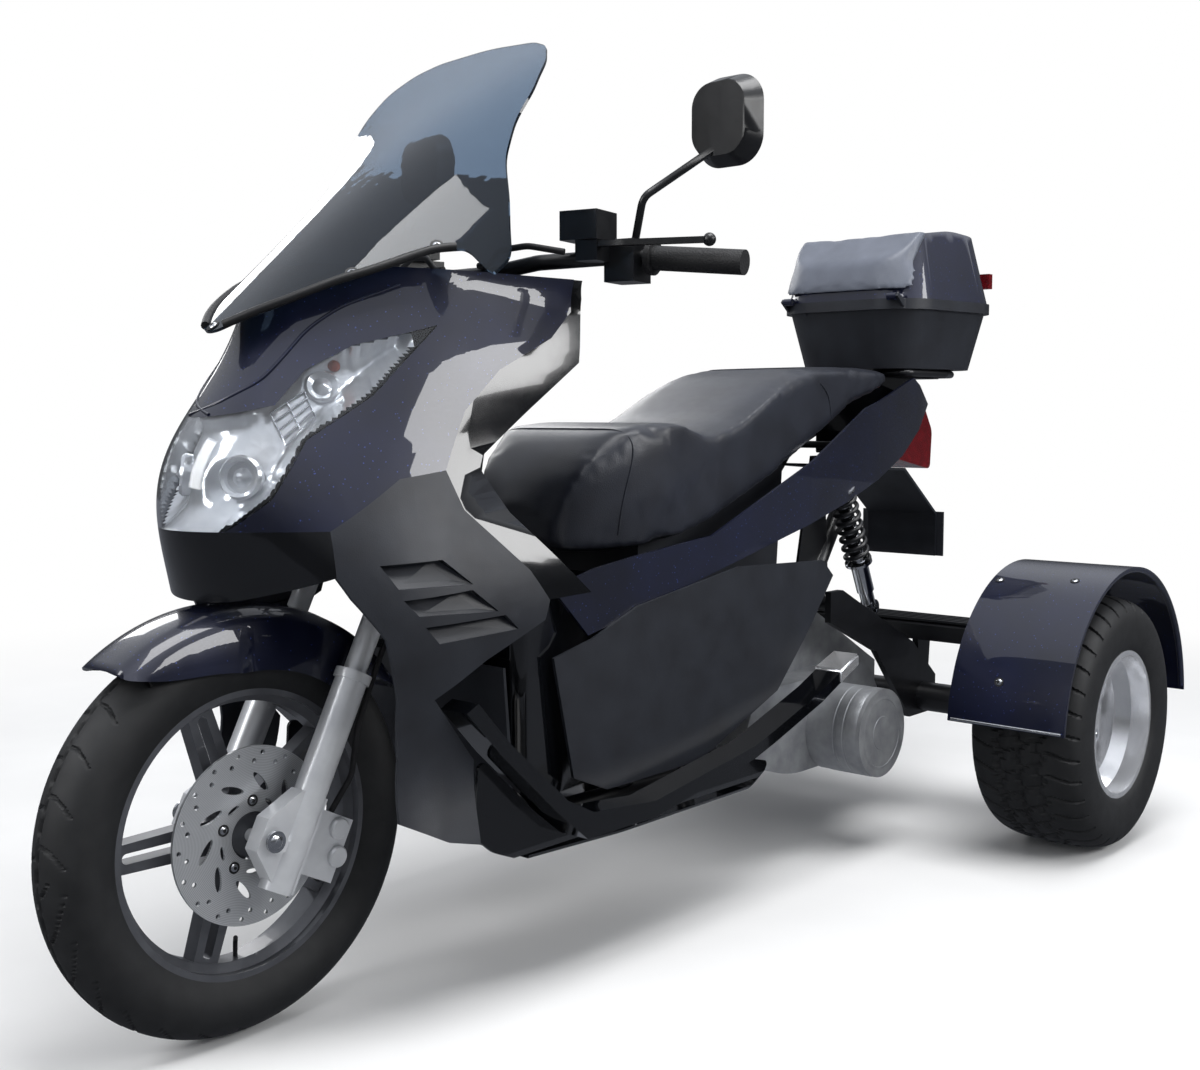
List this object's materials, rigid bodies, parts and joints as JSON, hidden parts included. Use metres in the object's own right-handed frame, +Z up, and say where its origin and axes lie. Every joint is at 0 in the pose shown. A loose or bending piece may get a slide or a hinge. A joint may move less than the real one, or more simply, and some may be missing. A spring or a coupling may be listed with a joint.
{
  "type": "motor trike",
  "caption": "Scooter-based motor trike with a tall smoked windscreen, two-tier seat, top box and two wide rear wheels under round fenders.",
  "frame": {"origin": "on the ground under the middle of the overall length, width and height box", "axes": "+X forward, +Y to the rider's left, +Z up"},
  "size_m": [2.0321, 1.135, 1.3009],
  "materials": {
    "tyre_rubber": "matt",
    "gunmetal_alloy": "satin",
    "polished_alloy": "polished",
    "disc_steel": "brushed",
    "silver_paint": "satin",
    "black_steel": "satin",
    "grip_rubber": "matt",
    "black_plastic": "satin",
    "matte_black": "textured",
    "gloss_black": "gloss",
    "navy_paint": "metallic gloss",
    "clear_lens": "clear",
    "lamp_chrome": "mirror",
    "smoked_screen": "smoked",
    "seat_vinyl": "grained",
    "red_lens": "gloss",
    "grey_pad": "grained",
    "cast_alloy": "cast",
    "exhaust_black": "heat-proof black"
  },
  "bodies": {
    "chassis": {"headlamp_lens": "clear_lens", "headlamp_reflector": "lamp_chrome", "upper_cowl": "navy_paint", "side_cowls": "navy_paint", "chin_cowl": "navy_paint", "lower_cowls": "navy_paint", "leg_shield": "gloss_black", "windscreen": "smoked_screen", "splash_guard": "matte_black", "centre_tunnel": "navy_paint", "side_covers": "navy_paint", "lower_side_covers": "matte_black", "floorboards": "gloss_black", "belly_pan": "gloss_black", "luggage_bucket": "matte_black", "tail_cover": "gloss_black", "tail_lamp": "red_lens", "rear_mudguard": "matte_black", "carrier": "black_steel", "top_box_base": "matte_black", "frame": "black_steel", "rear_axle_housing": "black_steel", "engine_block": "cast_alloy", "drive_case": "cast_alloy", "exhaust": "exhaust_black", "shocks": "black_steel", "rear_fenders": "navy_paint"},
    "steering": {"fork": "silver_paint", "handlebar": "black_steel", "grips": "grip_rubber", "mirrors": "black_plastic", "hand_controls": "black_plastic", "front_fender": "navy_paint", "front_caliper": "silver_paint", "hoses_and_cables": "grip_rubber"},
    "front_wheel_body": {"front_tyre": "tyre_rubber", "front_wheel": "gunmetal_alloy", "front_brake_disc": "disc_steel"},
    "rear_wheel_left_body": {"rear_tyre_left": "tyre_rubber", "rear_wheel_left": "polished_alloy"},
    "rear_wheel_right_body": {"rear_tyre_right": "tyre_rubber", "rear_wheel_right": "polished_alloy"},
    "seat_body": {"seat": "seat_vinyl"},
    "lid_body": {"top_box_lid": "navy_paint", "backrest_pad": "grey_pad", "reflectors": "red_lens"},
    "fuel_door_body": {"fuel_door": "gloss_black"}
  },
  "joints": [
    {"name": "steering", "type": "hinge", "parent": "chassis", "child": "steering", "pos_m": [0.49297, 0, 0.67716], "axis": [-0.454, 0, 0.891], "range_deg": [-32, 32]},
    {"name": "front_wheel_spin", "type": "hinge", "parent": "steering", "child": "front_wheel_body", "pos_m": [0.753, 0, 0.259], "axis": [0, 1, 0], "continuous": true},
    {"name": "rear_wheel_left_spin", "type": "hinge", "parent": "chassis", "child": "rear_wheel_left_body", "pos_m": [-0.727, 0.465, 0.229], "axis": [0, 1, 0], "continuous": true},
    {"name": "rear_wheel_right_spin", "type": "hinge", "parent": "chassis", "child": "rear_wheel_right_body", "pos_m": [-0.727, -0.465, 0.229], "axis": [0, 1, 0], "continuous": true},
    {"name": "seat_hinge", "type": "hinge", "parent": "chassis", "child": "seat_body", "pos_m": [0.26, 0, 0.582], "axis": [0, 1, 0], "range_deg": [0, 30]},
    {"name": "top_box_lid_hinge", "type": "hinge", "parent": "chassis", "child": "lid_body", "pos_m": [-0.659, 0, 1.003], "axis": [0, 1, 0], "range_deg": [0, 65]},
    {"name": "fuel_door_hinge", "type": "hinge", "parent": "chassis", "child": "fuel_door_body", "pos_m": [0.331, 0, 0.538], "axis": [0, 1, 0], "range_deg": [0, 80]}
  ]
}
